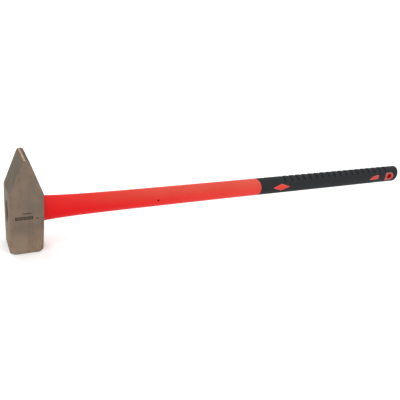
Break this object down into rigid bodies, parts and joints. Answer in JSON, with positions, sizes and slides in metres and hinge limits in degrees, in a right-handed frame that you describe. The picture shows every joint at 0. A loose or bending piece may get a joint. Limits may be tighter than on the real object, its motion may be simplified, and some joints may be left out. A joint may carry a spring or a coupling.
{
  "type": "cross-peen sledge hammer",
  "caption": "Two-handed sledge hammer with a square striking face, a wedge-shaped cross peen and a jacketed fibreglass handle with a ribbed soft grip and a hang hole.",
  "frame": {"origin": "centre of the striking face", "axes": "+X along the handle from the head to the grip's end, +Z from the striking face to the peen, +Y across the handle"},
  "size_m": [0.89, 0.0604, 0.1735],
  "materials": {
    "head_bronze": "matte blasted bronze, brown-grey",
    "core_fibreglass": "pultruded glass fibre",
    "jacket_red": "satin moulded plastic, red",
    "grip_dark": "soft matte moulded rubber, dark grey",
    "eye_resin": "cast resin, dark"
  },
  "bodies": {
    "root": {"head": "head_bronze", "core_rod": "core_fibreglass", "jacket": "jacket_red", "grip": "grip_dark", "eye_resin": "eye_resin"}
  },
  "joints": []
}
